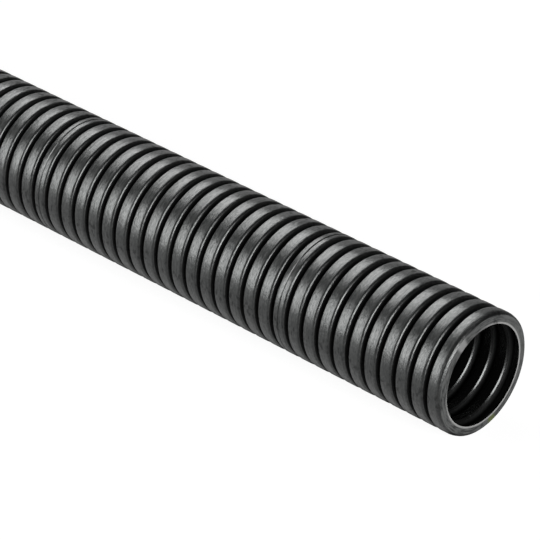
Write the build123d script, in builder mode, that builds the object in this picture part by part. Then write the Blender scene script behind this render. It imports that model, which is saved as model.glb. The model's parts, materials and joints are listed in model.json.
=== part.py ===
"""A metre of corrugated electrical conduit: one thin wall, folded into rings along its whole length.

The conduit lies along X on the plane z = 0, with the middle of its length at X = 0.
Lengths are in millimetres and angles in degrees.
"""

import os
from math import cos, radians, tan

from build123d import *

# Driving dimensions
outer_diameter = 28.5
bore_diameter = 23.0
length = 1000.0
nominal_pitch = 4.39
wall = 0.55
groove_mouth = 1.45
flank_angle = 6.0
shoulder_bevel = 0.3
ridge_bevel = 0.25

# Radii that follow from them
crest_radius = outer_diameter / 2
bore_radius = bore_diameter / 2
root_radius = bore_radius + wall
cavity_radius = crest_radius - wall


def groove_width(radius):
    """The width of an outside groove at a radius: both its flanks lean outwards by the flank angle."""
    return groove_mouth - 2 * (crest_radius - radius) * tan(radians(flank_angle))


# Each end is cut down the foot of a flank, so there is one ring more than there are grooves.
ring_count = round((length + groove_width(root_radius)) / nominal_pitch)
groove_count = ring_count - 1
pitch = (length + groove_width(root_radius)) / ring_count


def cavity_width(radius):
    """The width of the hollow under a ring at a radius: a pitch less one groove and the walls beside it."""
    return pitch - groove_width(radius) - 2 * wall / cos(radians(flank_angle))


def corners_at(sketch, radius):
    """The two corners at a radius that are inside one pitch, not at its ends."""
    at_radius = sketch.vertices().filter_by(lambda v: abs(v.Y - radius) < wall / 10)
    return at_radius.sort_by(Axis.X)[1:-1]


# One groove between two rings, cut into the wall from outside. It starts a wall's thickness clear of it.
with BuildSketch() as groove:
    with BuildLine():
        Polyline(
            (-pitch / 2, crest_radius + wall),
            (-pitch / 2, crest_radius),
            (-groove_mouth / 2, crest_radius),
            (-groove_width(root_radius) / 2, root_radius),
            (groove_width(root_radius) / 2, root_radius),
            (groove_mouth / 2, crest_radius),
            (pitch / 2, crest_radius),
            (pitch / 2, crest_radius + wall),
            close=True,
        )
    make_face()
    chamfer(corners_at(groove, crest_radius), shoulder_bevel)

# The hollow under one ring, cut into the wall from the bore in the same way
with BuildSketch() as cavity:
    with BuildLine():
        Polyline(
            (-pitch / 2, bore_radius - wall),
            (-pitch / 2, bore_radius),
            (-cavity_width(bore_radius) / 2, bore_radius),
            (-cavity_width(cavity_radius) / 2, cavity_radius),
            (cavity_width(cavity_radius) / 2, cavity_radius),
            (cavity_width(bore_radius) / 2, bore_radius),
            (pitch / 2, bore_radius),
            (pitch / 2, bore_radius - wall),
            close=True,
        )
    make_face()
    chamfer(corners_at(cavity, bore_radius), ridge_bevel)

# The wall in section along its whole length, turned once round the axis that the conduit lies on
middle_line = Axis((0, 0, crest_radius), (1, 0, 0))

with BuildPart() as conduit:
    with BuildSketch(Plane.XY.offset(crest_radius)):
        with Locations((0, (bore_radius + crest_radius) / 2)):
            Rectangle(length, crest_radius - bore_radius)
        with GridLocations(pitch, 0, groove_count, 1):
            add(groove.sketch, mode=Mode.SUBTRACT)
        with GridLocations(pitch, 0, ring_count, 1):
            add(cavity.sketch, mode=Mode.SUBTRACT)
    revolve(axis=middle_line)

os.makedirs("parts", exist_ok=True)
conduit.part.label = "conduit"
export_step(conduit.part, "parts/conduit.step")
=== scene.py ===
# %% [markdown]
# # A length of black corrugated conduit
#
# The real thing is one thin plastic wall, blown into rings by a moving row of mould blocks.
# Outside it shows flat-topped rings with narrow grooves between them. Inside it shows the same
# wall from its back: a ridge under each groove and a dark hollow under each ring. The photograph
# looks into a flush cut end, with the rest of the conduit running away to the upper left.
#
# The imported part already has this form, but its circles are coarse and its corners are plain
# bevels. From close by both would show, so this scene models the wall again, rounder, and lets
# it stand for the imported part.

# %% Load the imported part
import json
import math

import bmesh
import bpy
from mathutils import Matrix, Vector


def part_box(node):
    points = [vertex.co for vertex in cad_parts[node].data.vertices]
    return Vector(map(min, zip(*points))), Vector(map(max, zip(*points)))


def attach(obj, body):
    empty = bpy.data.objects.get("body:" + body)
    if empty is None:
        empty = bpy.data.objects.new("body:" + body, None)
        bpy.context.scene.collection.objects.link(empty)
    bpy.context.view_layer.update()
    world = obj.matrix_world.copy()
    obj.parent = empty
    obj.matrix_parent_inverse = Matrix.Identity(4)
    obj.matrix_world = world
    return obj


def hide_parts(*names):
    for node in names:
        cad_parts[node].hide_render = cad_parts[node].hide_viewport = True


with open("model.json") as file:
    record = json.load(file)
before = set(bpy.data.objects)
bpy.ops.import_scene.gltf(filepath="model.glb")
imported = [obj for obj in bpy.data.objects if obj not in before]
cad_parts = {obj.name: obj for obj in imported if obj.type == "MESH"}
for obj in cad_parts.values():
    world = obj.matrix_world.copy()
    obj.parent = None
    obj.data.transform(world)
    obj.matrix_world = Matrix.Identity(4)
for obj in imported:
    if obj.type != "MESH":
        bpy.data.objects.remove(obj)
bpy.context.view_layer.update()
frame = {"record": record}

# %% [markdown]
# ## Sizes
#
# The length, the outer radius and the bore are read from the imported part, so the model can't
# drift away from it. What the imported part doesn't state, such as how wide a groove is, is named
# here. Blender works in metres, so each size in millimetres is multiplied by MM.
#
# The conduit lies along X, with its middle at X = 0, and the cut end that shows is the one
# at +X. A ring's front is its side towards that cut, and its back is the other side.

# %% Sizes of the wall
MM = 0.001
conduit_low, conduit_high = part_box("conduit")
half_length = conduit_high.x
axis_height = (conduit_low.z + conduit_high.z) / 2
crest_radius = (conduit_high.z - conduit_low.z) / 2
bore = next(mount for mount in frame["record"]["mounts"] if mount["name"] == "cable_bore")
bore_radius = bore["dims"]["r_mm"] * MM
ring_count = 228
groove_mouth = 1.45 * MM
flank_lean = math.tan(math.radians(6))
wall = 0.55 * MM
root_radius = bore_radius + wall
cavity_radius = crest_radius - wall


def groove_width(radius):
    """The groove narrows towards its root, as its flanks lean outwards."""
    return groove_mouth - 2 * (crest_radius - radius) * flank_lean


pitch = (2 * half_length + groove_width(root_radius)) / ring_count
crest_width = pitch - groove_mouth
flank_run = (crest_radius - root_radius) * flank_lean


def cavity_width(radius):
    """What a pitch has left under a ring, less one groove and the two walls beside it."""
    return pitch - groove_width(radius) - 2 * wall * math.hypot(1, flank_lean)


print(f"{ring_count} rings at a pitch of {pitch / MM:.3f} mm")

# %% [markdown]
# ## Picking edges
#
# A person picks a rim with the mouse. A script has no mouse, so it picks by place. All rims of
# this wall run round one axis, so an edge belongs to a rim when its two ends lie at the same
# distance along that axis and at the same distance from it. Measures count as the same when
# they differ by less than same_measure, and a rim is looked for within rim_window of its place.

# %% Helpers for picking
same_measure = 0.02 * MM
rim_window = 0.05 * MM
merge_distance = 0.001 * MM


def distance_from_axis(point):
    return math.hypot(point.y, point.z - axis_height)


def near(a, b):
    return abs(a - b) < same_measure


def deselect_all():
    bpy.ops.object.select_all(action="DESELECT")


def edit(piece):
    """Opens a piece for editing, with nothing of it selected, and gives its mesh."""
    bpy.context.view_layer.objects.active = piece
    bpy.ops.object.mode_set(mode="EDIT")
    bpy.ops.mesh.select_mode(type="EDGE")
    bpy.ops.mesh.select_all(action="DESELECT")
    return bmesh.from_edit_mesh(piece.data)


def pick_rims(piece, radius, low, high):
    """Selects the rims of one radius that lie between two places along the axis."""
    mesh = edit(piece)
    for edge in mesh.edges:
        a, b = edge.verts[0].co, edge.verts[1].co
        same_radius = near(distance_from_axis(a), radius) and near(distance_from_axis(b), radius)
        edge.select_set(near(a.x, b.x) and low < a.x < high and same_radius)
    bmesh.update_edit_mesh(piece.data)


def scale_round_axis(share, place):
    """Scales what is selected towards the axis or away from it, at one place along it."""
    bpy.ops.transform.resize(value=(1, share, share), center_override=(place, 0, axis_height))


# %% [markdown]
# ## One pitch of the wall, repeated
#
# A wall that is round everywhere can be spun from a line or drawn out from a circle. Drawing it
# out shows each step: the circle is extruded along the axis, and wherever the wall climbs or
# drops, the new rim is scaled to its radius. An array modifier then sets one pitch behind the
# other, as the mould blocks do, and merges the rims that meet.

# %% Draw a wall out of a circle
def draw_wall(name, sides, rims):
    """Draws the wall through its rims: pairs of a place along the axis and a radius there."""
    deselect_all()
    x, radius = rims[0]
    bpy.ops.mesh.primitive_circle_add(
        vertices=sides,
        radius=radius,
        location=(x, 0, axis_height),
        rotation=(0, math.radians(90), 0),
    )
    piece = bpy.context.object
    piece.name = name
    bpy.ops.object.transform_apply(location=True, rotation=True, scale=True)
    bpy.ops.object.mode_set(mode="EDIT")
    bpy.ops.mesh.select_all(action="SELECT")
    for new_x, new_radius in rims[1:]:
        bpy.ops.mesh.extrude_region_move(TRANSFORM_OT_translate={"value": (new_x - x, 0, 0)})
        scale_round_axis(new_radius / radius, new_x)
        x, radius = new_x, new_radius
    bpy.ops.object.mode_set(mode="OBJECT")
    return piece


# %% Repeat it along the conduit
def repeat_along(piece, count):
    """Copies the pitch along the axis and joins each copy to the one before."""
    row = piece.modifiers.new("row", "ARRAY")
    row.use_relative_offset = False
    row.use_constant_offset = True
    row.constant_offset_displace = (pitch, 0, 0)
    row.count = count
    row.use_merge_vertices = True
    row.merge_threshold = merge_distance
    bpy.context.view_layer.objects.active = piece
    bpy.ops.object.modifier_apply(modifier="row")


def first_band_off(piece):
    """Each wall was drawn with a groove before its first ring. This band goes."""
    mesh = edit(piece)
    lowest = min(vertex.co.x for vertex in mesh.verts)
    bpy.ops.mesh.select_mode(type="VERT")
    for vertex in mesh.verts:
        vertex.select_set(near(vertex.co.x, lowest))
    bpy.ops.mesh.delete(type="VERT")
    bpy.ops.object.mode_set(mode="OBJECT")


# %% [markdown]
# ## Corners
#
# Blown plastic never fills the corner of a mould. On the front of each ring the crest first
# slopes off, then turns down over a narrow flat: under the lamps the slope stays dark and the
# flat draws a thin line of light. The ridges in the bore have such a corner on their front too.
# The back of a ring has a plain round shoulder.
#
# Blender's bevel could round all of these, but only evenly. So each uneven corner is a short
# list of rims in millimetres: how far on along the axis, and how far off the crest.

# %% The rims of a corner
front_corner = [(0, 0), (0.18, 0.014), (0.46, 0.13), (0.52, 0.18), (0.675, 0.375)]
ridge_corner = [(0, 0), (0.12, 0.03), (0.16, 0.06), (0.4, 0.33), (0.44, 0.4)]
back_shoulder = 0.28 * MM


def corner_rims(corner, edge_x, radius, outwards):
    """Sets a corner so that its last rim lies on the flank that leaves edge_x."""
    last_run, last_drop = corner[-1]
    start = edge_x + last_drop * MM * flank_lean - last_run * MM
    return [(start + run * MM, radius + outwards * drop * MM) for run, drop in corner]


def round_shoulder(edge_x, radius, segments):
    """Sets an arc where a flank climbs to a crest."""
    turn = math.radians(90) - math.atan(flank_lean)
    middle = edge_x + back_shoulder * math.tan(turn / 2)
    angles = [turn * (1 - step / segments) for step in range(segments + 1)]
    return [
        (middle - back_shoulder * math.sin(angle), radius - back_shoulder * (1 - math.cos(angle)))
        for angle in angles
    ]


# %% [markdown]
# ## Two stretches of conduit
#
# The stretch near the cut end is seen from close by, so it has many sides and full corners. The
# rest is only ever seen from far away and gets fewer sides and sharp corners, or the mesh would
# be far too heavy. Both come from one function.

# %% The rims of one pitch
def outside_rims(first_foot, full):
    """A groove and the ring in front of it, whose back flank starts at first_foot."""
    crest_start, crest_end = first_foot + flank_run, first_foot + flank_run + crest_width
    back, front = [(crest_start, crest_radius)], [(crest_end, crest_radius)]
    if full:
        back = round_shoulder(crest_start, crest_radius, segments=3)
        front = corner_rims(front_corner, crest_end, crest_radius, outwards=-1)
    return [
        (first_foot - groove_width(root_radius), root_radius),
        (first_foot, root_radius),
        *back,
        *front,
        (crest_end + flank_run, root_radius),
    ]


def inside_rims(first_foot, full):
    """A ridge and the hollow in front of it, which lies under the same ring."""
    crest_start = first_foot + flank_run
    mouth, top = cavity_width(bore_radius), cavity_width(cavity_radius)
    mouth_start = crest_start + (crest_width - mouth) / 2
    top_start = crest_start + (crest_width - top) / 2
    ridge_end = [(mouth_start, bore_radius)]
    if full:
        ridge_end = corner_rims(ridge_corner, mouth_start, bore_radius, outwards=1)
    return [
        (mouth_start + mouth - pitch, bore_radius),
        *ridge_end,
        (top_start, cavity_radius),
        (top_start + top, cavity_radius),
        (mouth_start + mouth, bore_radius),
    ]


# %% Outside and inside of both stretches
def stretch(name, first_foot, count, sides, full):
    """Draws the outside and the inside of a row of rings, from the one at first_foot."""
    pieces = (
        draw_wall(name + "_outside", sides, outside_rims(first_foot, full)),
        draw_wall(name + "_inside", sides, inside_rims(first_foot, full)),
    )
    for piece in pieces:
        repeat_along(piece, count)
        first_band_off(piece)
        print(piece.name, len(piece.data.polygons), "faces")
    return pieces


near_rings = 38
near_sides, far_sides = 64, 28
stretch_change = half_length - near_rings * pitch
near_foot = stretch_change + groove_width(root_radius)
walls = (
    *stretch("far", -half_length, ring_count - near_rings, far_sides, full=False),
    *stretch("near", near_foot, near_rings, near_sides, full=True),
)

# %% [markdown]
# ## One closed wall
#
# The four pieces are joined. At each cut end the bore's rim runs on to the cut, and from there a
# last rim is drawn out across the wall's thickness until it meets the foot of the ring outside.
# Where the two stretches meet, their rims have different numbers of sides, and a bridge joins
# them. Operators leave some faces inside out, so the normals are made consistent at the end.

# %% Join the pieces
deselect_all()
for piece in walls:
    piece.select_set(True)
bpy.context.view_layer.objects.active = walls[0]
bpy.ops.object.join()
conduit = bpy.context.object
conduit.name = "conduit_wall"
print(conduit.name, "has", len(conduit.data.polygons), "faces")


# %% Close the ends and the change of sides
def pick_open_rims(low, high, inside):
    """Selects the open rims between two places, and gives the place of one of them."""
    mesh = edit(conduit)
    for edge in mesh.edges:
        point = edge.verts[0].co
        in_bore = distance_from_axis(point) < (bore_radius + root_radius) / 2
        edge.select_set(edge.is_boundary and low < point.x < high and in_bore == inside)
    bmesh.update_edit_mesh(conduit.data)
    return next(edge.verts[0].co.x for edge in mesh.edges if edge.select)


for low, high, cut in (
    (-math.inf, -half_length + pitch, -half_length),
    (half_length - pitch, math.inf, half_length),
):
    rim_place = pick_open_rims(low, high, inside=True)
    bpy.ops.mesh.extrude_region_move(TRANSFORM_OT_translate={"value": (cut - rim_place, 0, 0)})
    bpy.ops.mesh.extrude_region_move()
    scale_round_axis(root_radius / bore_radius, cut)
for inside in (True, False):
    pick_open_rims(stretch_change - pitch, stretch_change + pitch, inside)
    bpy.ops.mesh.bridge_edge_loops()
bpy.ops.mesh.select_all(action="SELECT")
bpy.ops.mesh.remove_doubles(threshold=merge_distance)
bpy.ops.mesh.normals_make_consistent(inside=False)
bpy.ops.object.mode_set(mode="OBJECT")
print("closed, it has", len(conduit.data.polygons), "faces")

# %% [markdown]
# ## The cut edge
#
# A knife went round the cut afterwards. Outside it took off the last ring's corner: the ring
# slopes down for 0.8 mm and ends in a flat that draws one more thin line of light. The rims of
# the moulded corner are still there, so each is slid along the axis and scaled to its new place,
# counted from the cut. The last goes first, so that none has to pass another.
#
# In the bore the knife took a little off the two rims at the cut, and more of it on the side
# away from the camera. So they are scaled up and shifted that way by as much, and the side
# towards the camera stays where it was.

# %% Trim the last ring
trimmed_corner = [(-1.13, 0), (-0.93, 0.03), (-0.63, 0.11), (-0.33, 0.215), (0, 0.64)]
moulded_corner = corner_rims(front_corner, half_length - flank_run, crest_radius, outwards=-1)
for (x, radius), (run, drop) in reversed(list(zip(moulded_corner, trimmed_corner))):
    pick_rims(conduit, radius, x - rim_window, x + rim_window)
    bpy.ops.transform.translate(value=(half_length + run * MM - x, 0, 0))
    scale_round_axis((crest_radius - drop * MM) / radius, half_length)
    bpy.ops.object.mode_set(mode="OBJECT")
    print(f"rim at {x / MM:.2f} mm moved to {half_length / MM + run:.2f} mm, {drop} mm down")

# %% Widen the bore's edge
widening = 0.17 * MM
widened_radius = bore_radius + widening
widened_turn = math.radians(129)
pick_rims(conduit, bore_radius, half_length - wall - rim_window, math.inf)
scale_round_axis(widened_radius / bore_radius, half_length)
bpy.ops.transform.translate(
    value=(0, widening * math.sin(widened_turn), widening * math.cos(widened_turn))
)
bpy.ops.object.mode_set(mode="OBJECT")
print(f"the bore's edge is {2 * widened_radius / MM:.2f} mm wide")

# %% [markdown]
# ## Joint lines of the mould blocks
#
# Each pair of mould blocks forms 17 rings, and where one pair follows the next a fine line runs
# round the middle of a ring. The crest is bisected there, the new rim is bevelled into two rims
# with a third between them, and the middle one is scaled inwards: a shallow V.

# %% Draw the joint lines
rings_per_block = 17
first_joint = 10
joint_half_width = 0.2 * MM
joint_depth = 0.24 * MM
band_half_width = 0.35 * MM
joint_behind_crest_end = 1.62 * MM
joint_rings = range(first_joint, ring_count, rings_per_block)
for ring in joint_rings:
    joint = half_length - flank_run - joint_behind_crest_end - ring * pitch
    mesh = edit(conduit)
    for face in mesh.faces:
        centre = face.calc_center_median()
        on_crest = distance_from_axis(centre) > cavity_radius + wall / 2
        face.select_set(on_crest and abs(centre.x - joint) < band_half_width)
    bpy.ops.mesh.bisect(plane_co=(joint, 0, 0), plane_no=(1, 0, 0), threshold=merge_distance)
    bpy.ops.mesh.bevel(
        offset=joint_half_width, segments=2, affect="EDGES", clamp_overlap=False
    )
    pick_rims(conduit, crest_radius, joint - rim_window, joint + rim_window)
    scale_round_axis(1 - joint_depth / crest_radius, joint)
    bpy.ops.object.mode_set(mode="OBJECT")
print("joint lines on", len(joint_rings), "rings")

# %% [markdown]
# ## Handing the wall over
#
# The mesh is measured first: a wall with no open edge is closed, and only then has it a volume.
# Then it is shaded smooth up to an angle, so the round sides flow into each other while the
# corners of rings and ridges stay crisp. Last come the lines that tie it to the imported part: it
# rides on the part's one body, and the part's own node is hidden, so the wall shows in its place.

# %% Measure the wall
mesh = bmesh.new()
mesh.from_mesh(conduit.data)
triangles = sum(len(face.verts) - 2 for face in mesh.faces)
open_edges = sum(edge.is_boundary for edge in mesh.edges)
volume = mesh.calc_volume() / MM**3
print(f"the wall has {len(mesh.faces)} faces, {triangles} triangles and {open_edges} open edges")
print(f"it holds {volume:.0f} mm3")
mesh.free()

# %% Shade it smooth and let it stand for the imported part
sharp_from = math.radians(31)
bpy.ops.object.shade_smooth_by_angle(angle=sharp_from)

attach(conduit, "root")
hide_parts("conduit")

# %% [markdown]
# ## Signals
#
# A material is worked out by nodes. Written out one by one they are hard to read, so this class
# wraps one output of a node as a signal. Sums and products of signals are written as plain
# arithmetic, and each of them becomes a Math node.

# %% A class for shader arithmetic
class Signal:
    """One output of a node, which can be reckoned with like a number."""

    def __init__(self, tree, socket=None):
        self.tree = tree
        self.socket = socket

    def node(self, kind, settings, sockets, output=0):
        """Adds a node: its settings first, then a value or a signal for each of its sockets."""
        node = self.tree.nodes.new("ShaderNode" + kind)
        for name, value in settings.items():
            setattr(node, name, value)
        for name, value in sockets.items():
            if isinstance(value, Signal):
                self.tree.links.new(value.socket, node.inputs[name])
            else:
                node.inputs[name].default_value = value
        return Signal(self.tree, node.outputs[output] if node.outputs else None)

    def math(self, operation, *values):
        return self.node("Math", {"operation": operation}, dict(enumerate((self, *values))))

    def __add__(self, other):
        return self.math("ADD", other)

    __radd__ = __add__

    def __mul__(self, other):
        return self.math("MULTIPLY", other)

    __rmul__ = __mul__

    def __sub__(self, other):
        return self.math("SUBTRACT", other)

    def __rsub__(self, other):
        return self * -1 + other

    def between(self, low, high, new_low=0.0, new_high=1.0):
        """Runs smoothly from new_low to new_high while the signal runs from low to high."""
        sockets = {0: self, 1: low, 2: high, 3: new_low, 4: new_high}
        return self.node("MapRange", {"interpolation_type": "SMOOTHSTEP"}, sockets)


def new_material(name):
    """Gives an empty material and a signal to start from."""
    material = bpy.data.materials.new(name)
    material.use_nodes = True
    material.node_tree.nodes.clear()
    return material, Signal(material.node_tree)


# %% [markdown]
# ## The black plastic, unrolled
#
# Conduit is blown from polyethylene with soot in it. Its pattern has to follow the rings, which
# plain noise on X, Y and Z would not. So the shader first works out where each point of the wall
# lies on the unrolled wall: how far along the axis, how far round it and how far out from it.
# Turns round the axis are in radians from straight up, and positive away from the camera.

# %% Unroll the wall for the shader
black_plastic, start = new_material("black_plastic")
place = start.node("TexCoord", {}, {}, "Object")
centred = start.node("Mapping", {}, {"Vector": place, "Location": (0, 0, -axis_height)})
along, across, height = (
    start.node("SeparateXYZ", {}, {0: centred}, output) for output in range(3)
)
out = (across * across + height * height).math("SQRT")
turned = across.math("ARCTAN2", height)


def noise(size, detail, squeeze=1.0):
    """Noise of a size in millimetres. A squeeze below 1 draws it out round the ring."""
    round_ring = turned * (crest_radius * squeeze)
    unrolled = start.node("CombineXYZ", {}, {0: along, 1: round_ring, 2: out})
    sockets = {"Vector": unrolled, "Scale": 1 / (size * MM), "Detail": detail}
    return start.node("TexNoise", {}, sockets)


def spot(turn, inner, outer):
    """Is 1 within inner of one direction round the axis, and 0 beyond outer."""
    return (turned - turn).math("ABSOLUTE").between(inner, outer, 1.0, 0.0)


def blend(share, colour_a, colour_b):
    """Mixes two colours: a share of 0 gives the first and 1 the second."""
    return start.node("Mix", {"data_type": "RGBA"}, {0: share, 6: colour_a, 7: colour_b}, 2)


# %% [markdown]
# ## Zones of the wall
#
# Each zone is a mask: 1 inside it, 0 outside, with a soft edge between. The grooves are duller
# than the rings. The ridges in the bore are glossier, because no mould touched them. The last
# half millimetre belongs to the cut, so the grooves' zone stops before it.

# %% Masks for groove, ridge, crest and cut
before_cut = along.between(half_length - 0.5 * MM, half_length - 0.4 * MM, 1.0, 0.0)
below_crest = out.between(crest_radius - 0.46 * MM, crest_radius - 0.32 * MM, 1.0, 0.0)
in_groove = below_crest * before_cut
on_ridge = out.between(bore_radius + 0.38 * MM, bore_radius + 0.44 * MM, 1.0, 0.0)
# painted shade: 1 below the crest, where grooves, flanks and bore get a deeper black
painted_shade_mask = out.between(crest_radius - 0.14 * MM, crest_radius - 0.02 * MM, 1.0, 0.0)
at_cut = along.math("ABSOLUTE").between(half_length - 0.05 * MM, half_length - 0.01 * MM)
shown_cut = at_cut * along.math("GREATER_THAN", 0.0)

# %% [markdown]
# ## Grain of the plastic
#
# The colour is nearly black all over, so what the eye reads is gloss: fine streaks that run
# round each ring where the hot plastic slid along the mould, softer blotches, and a slow
# waviness that bends the highlights a little. They make a relief for the bump, and the streaks
# and the grain also change how rough the skin is. A coat comes and goes with them and puts a
# soft glow round the sharper mirror image of each lamp.

# %% Streaks, grain, blotches and waves
streaks = noise(size=0.4, detail=4.0, squeeze=0.05)
grain = noise(size=0.35, detail=3.0, squeeze=0.5)
blotches = noise(size=1.6, detail=2.0)
waves = noise(size=7, detail=1.0)
fine_relief = (streaks * 0.09 + grain * 0.06) * (1 - on_ridge)
relief = fine_relief + blotches * 0.04 + waves * 0.07
bump = start.node("Bump", {}, {"Strength": 1.0, "Distance": MM, "Height": relief})
roughness = 0.23 + streaks * 0.12 + grain * 0.1
roughness = roughness + in_groove * 0.15 - on_ridge * 0.22 + at_cut * 0.2
skin = streaks * 1.1 + grain * 1.9 - on_ridge - in_groove - 1.25

# %% [markdown]
# ## Colours of the skin and the cut
#
# Off the crest the black is deeper still: painted shade on the grooves, the flanks and the whole
# bore. Only the cut is another colour: the plastic there is grey and scored, and paler over a
# wide arc on its upper side away from the camera, with one torn pale spot and one olive stain. A
# pale band along the bore's edge on the cut is a painted highlight, left off on the upper side
# towards the camera. It follows the widened edge, so it is worked out from how far that edge lies
# from the axis in each direction.

# %% Colours
soot_black = (0.012, 0.0128, 0.0125, 1)
painted_shade_black = (0.002, 0.002, 0.002, 1)
cut_dark, cut_grey = (0.035, 0.036, 0.036, 1), (0.11, 0.112, 0.11, 1)
torn_grey = (0.26, 0.26, 0.26, 1)
stain_olive = (0.11, 0.13, 0.05, 1)
# painted highlight: the pale grey of the bright line round the bore's edge on the cut
painted_highlight_grey = (0.38, 0.38, 0.375, 1)
paler_arc_turn, torn_turn, stained_turn, rim_unlit_turn = 1.2, -0.59, 2.88, -0.87

scores_and_paler_arc = noise(size=0.3, detail=1.0, squeeze=0.12).between(0.38, 0.6)
# the cut is made paler over a wide arc on its upper side away from the camera
scores_and_paler_arc = scores_and_paler_arc + spot(paler_arc_turn, 0.2, 1.3) * 0.5
torn = spot(torn_turn, 0.06, 0.14) * shown_cut
stained = spot(stained_turn, 0.03, 0.12) * shown_cut
rim_radius = (turned - widened_turn).math("COSINE") * widening + widened_radius
at_rim = (out - rim_radius).between(0.25 * MM, 0.5 * MM, 1.0, 0.0)
# painted highlight round the bore's edge, left off on the upper side towards the camera
painted_rim_highlight = at_rim * (1 - spot(rim_unlit_turn, 0.3, 1.5)) * shown_cut

cut_tint = blend(scores_and_paler_arc, cut_dark, cut_grey)
cut_tint = blend(torn, cut_tint, torn_grey)
cut_tint = blend(stained, cut_tint, stain_olive)
# painted shade: grooves, flanks and bore are darker than the crests
tint = blend(painted_shade_mask, soot_black, painted_shade_black)
tint = blend(at_cut, tint, cut_tint)
# painted highlight on the bore's edge
tint = blend(painted_rim_highlight, tint, painted_highlight_grey)

# %% [markdown]
# ## One material of it all
#
# Here and there the rings were rubbed dull in handling, on two lines along the conduit. There a
# plain diffuse black is mixed in, which mirrors nothing.

# %% Put the plastic together
rubbed_lines = spot(0.31, 0.04, 0.12) + spot(-1.62, 0.08, 0.2)
rubbed = noise(size=0.7, detail=1.0, squeeze=0.5).between(0.53, 0.65) * rubbed_lines
glossy = start.node(
    "BsdfPrincipled",
    {},
    {
        "Base Color": tint,
        "Roughness": roughness,
        "Normal": bump,
        "Coat Weight": skin,
        "Coat Roughness": 0.33,
        "Coat IOR": 1.6,
        "Specular IOR Level": 0.8,
        "Specular Tint": (0.97, 1.0, 0.99, 1),
    },
)
dull = start.node("BsdfDiffuse", {}, {"Color": (0.012, 0.012, 0.012, 1)})
plastic = start.node("MixShader", {}, {0: rubbed * 0.5, 1: glossy, 2: dull})
start.node("OutputMaterial", {}, {"Surface": plastic})

conduit.data.materials.clear()
conduit.data.materials.append(black_plastic)
print(black_plastic.name, "has", len(black_plastic.node_tree.nodes), "nodes")

# %% [markdown]
# ## Camera
#
# The photograph was measured first: the ellipses of the cut end and the run of the grooves give
# the direction of view, and how fast the rings shrink gives the distance. The lens then follows
# from how large the cut end is. The camera looks straight at a point beside the end, so that the
# end comes to lie in the lower right of the picture.

# %% Place the camera
azimuth = math.radians(-46.59)
elevation = math.radians(31.57)
camera_distance = 703.4 * MM
end_right_of_centre = 44.54 * MM
end_below_centre = 21.99 * MM

away = Vector(
    (
        math.cos(elevation) * math.cos(azimuth),
        math.cos(elevation) * math.sin(azimuth),
        math.sin(elevation),
    )
)
turn = away.to_track_quat("Z", "Y")
right, up = turn @ Vector((1, 0, 0)), turn @ Vector((0, 1, 0))
open_end = Vector((half_length, 0, axis_height))
aim = open_end - right * end_right_of_centre + up * end_below_centre
deselect_all()
bpy.ops.object.camera_add(location=aim + away * camera_distance, rotation=turn.to_euler())
camera = bpy.context.object
camera.data.sensor_width = 36
camera.data.lens = 224.2
camera.data.clip_start, camera.data.clip_end = 0.05, 50
bpy.context.scene.camera = camera
print("camera at", tuple(camera.location))

# %% [markdown]
# ## Floor and backdrop
#
# The photograph's background is plain white. The camera sees the paper lifted to white, with a
# share left that shadow can darken, so the conduit's shadow stays. Most other rays meet plain
# pale paper. Gloss sees the paper at one fixed level instead, and nearly black in two parts: a
# painted shadow on the strip under the conduit and just behind it, and all that lies beyond a
# slanting edge to the right, which the fronts of the rings would mirror. They stay black in the
# photograph. A low backdrop far behind carries the paper on for what the top of the conduit
# mirrors, and ends near the same edge.

# %% Where gloss sees the paper dark
def painted_shadow_and_edge(start):
    """Is 1 on the painted shadow strip along the conduit and past the slanting edge, and 0
    elsewhere.
    """
    place = start.node("TexCoord", {}, {}, "Object")
    aside = start.node("SeparateXYZ", {}, {0: place}, 0)
    behind = start.node("SeparateXYZ", {}, {0: place}, 1)
    # painted shadow: gloss sees the floor dark on this strip under and behind the conduit
    painted_shadow_strip = behind.between(-9.9 * MM, -8.3 * MM) * behind.between(50 * MM, 110 * MM, 1.0, 0.0)
    past_edge = (aside + behind * 0.65).between(480 * MM, 540 * MM)
    return painted_shadow_strip + past_edge * behind.between(130 * MM, 200 * MM)


# %% White paper
def white_paper(name, has_painted_shadow):
    """White to the camera, at a fixed level in gloss, and plain pale paper to all other rays."""
    material, start = new_material(name)
    seen_by_camera = start.node("LightPath", {}, {}, "Is Camera Ray")
    seen_in_gloss = start.node("LightPath", {}, {}, "Is Glossy Ray")
    paper = start.node("BsdfDiffuse", {}, {"Color": (0.44, 0.44, 0.44, 1), "Roughness": 1.0})
    mirrored = start.node("Emission", {}, {"Strength": 0.48})
    if has_painted_shadow:
        # dark in gloss for the painted shadow strip and past the slanting edge
        dark = start.node("Emission", {}, {"Strength": 0.06})
        mirrored = start.node("MixShader", {}, {0: painted_shadow_and_edge(start), 1: mirrored, 2: dark})
    faint_paper = start.node("BsdfDiffuse", {}, {"Color": (0.2, 0.2, 0.2, 1), "Roughness": 1.0})
    glow = start.node("Emission", {}, {"Strength": 0.88})
    lifted = start.node("AddShader", {}, {0: faint_paper, 1: glow})
    unseen = start.node("MixShader", {}, {0: seen_in_gloss, 1: paper, 2: mirrored})
    surface = start.node("MixShader", {}, {0: seen_by_camera, 1: unseen, 2: lifted})
    start.node("OutputMaterial", {}, {"Surface": surface})
    return material


# %% Lay the floor and stand the backdrop
paper_side = 12
backdrop_height = 2.5

deselect_all()
bpy.ops.mesh.primitive_plane_add(size=paper_side, location=(0, 0, 0))
floor = bpy.context.object
floor.name = "floor"
floor.data.materials.append(white_paper("floor_paper", has_painted_shadow=True))

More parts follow.
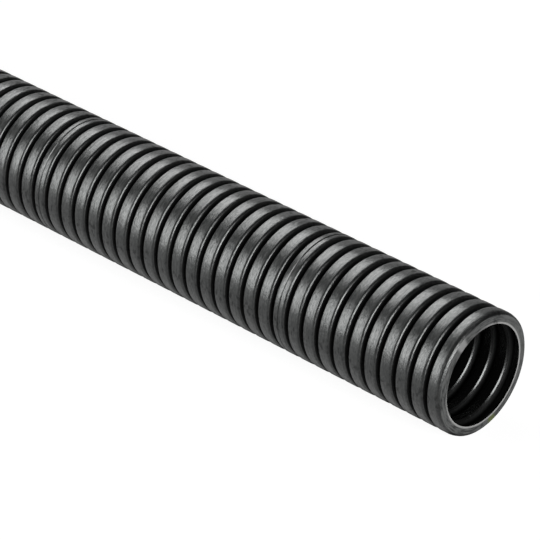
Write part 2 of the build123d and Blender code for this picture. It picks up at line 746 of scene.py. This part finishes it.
deselect_all()
bpy.ops.mesh.primitive_plane_add(
    size=paper_side,
    location=(-8.5, 6, backdrop_height / 2),
    rotation=(math.radians(90), 0, 0),
)
backdrop = bpy.context.object
backdrop.name = "backdrop"
backdrop.scale.y = backdrop_height / paper_side
backdrop.data.materials.append(white_paper("backdrop_paper", has_painted_shadow=False))
print("floor and backdrop are", paper_side, "m wide")

# %% [markdown]
# ## White room
#
# Past the paper the camera sees the world, which is plain white for it. For all other rays the
# world is nearly dark, or it would wash out the shapes that the softboxes draw.

# %% White room
world = bpy.data.worlds.new("white_room")
bpy.context.scene.world = world
world.use_nodes = True
world.node_tree.nodes.clear()
room = Signal(world.node_tree)
surface = room.node(
    "MixShader",
    {},
    {
        0: room.node("LightPath", {}, {}, "Is Camera Ray"),
        1: room.node("Background", {}, {"Color": (1, 1, 1, 1), "Strength": 0.05}),
        2: room.node("Background", {}, {"Color": (1, 1, 1, 1), "Strength": 1.0}),
    },
)
room.node("OutputWorld", {}, {"Surface": surface})
print(world.name, "has", len(world.node_tree.nodes), "nodes")

# %% [markdown]
# ## Softboxes
#
# On black plastic nearly all that is seen is a mirror image of the lamps, so each softbox is
# placed by the band of light it has to draw. A wide one overhead draws the band along the top,
# and one low in front draws the band below it, with a dark gap between. A third stands off the
# cut end. Only the flats on the fronts of the rings and the ridges in the bore mirror it, and it
# draws their thin lines.
#
# How bright a softbox looks in its mirror image is its radiance. Its power in watts is that
# times pi and its area, so a softbox can change its size without changing its look.

# %% Place the softboxes
lamp_distance = 1.6


def softbox(name, lean, sideways, side_along, side_across, radiance):
    """lean tips it from overhead towards the front, sideways turns it towards the cut end."""
    lean, sideways = math.radians(lean), math.radians(sideways)
    direction = Vector(
        (
            math.sin(sideways),
            -math.sin(lean) * math.cos(sideways),
            math.cos(lean) * math.cos(sideways),
        )
    )
    deselect_all()
    bpy.ops.object.light_add(type="AREA", location=open_end + direction * lamp_distance)
    lamp = bpy.context.object
    lamp.name = name
    x_axis = (Vector((1, 0, 0)) - direction * direction.x).normalized()
    axes = Matrix((x_axis, direction.cross(x_axis), direction))
    lamp.rotation_euler = axes.transposed().to_euler()
    lamp.data.shape = "RECTANGLE"
    lamp.data.size, lamp.data.size_y = side_along, side_across
    lamp.data.energy = radiance * math.pi * side_along * side_across
    print(name, "at", tuple(lamp.location), "with", round(lamp.data.energy, 2), "W")


softbox("softbox_overhead", -22, -38, side_along=0.8, side_across=1.3, radiance=5.1)
softbox("softbox_front", 71.5, -38, side_along=0.8, side_across=1.0, radiance=6.9)
softbox("softbox_beside", 47, 62, side_along=0.7, side_across=1.05, radiance=11.5)

# %% [markdown]
# ## Finish
#
# Last the view transform is set to Standard. The model may come close to the imported part's box
# and must not leave it.

# %% Set the view transform
bpy.context.scene.view_settings.view_transform = "Standard"
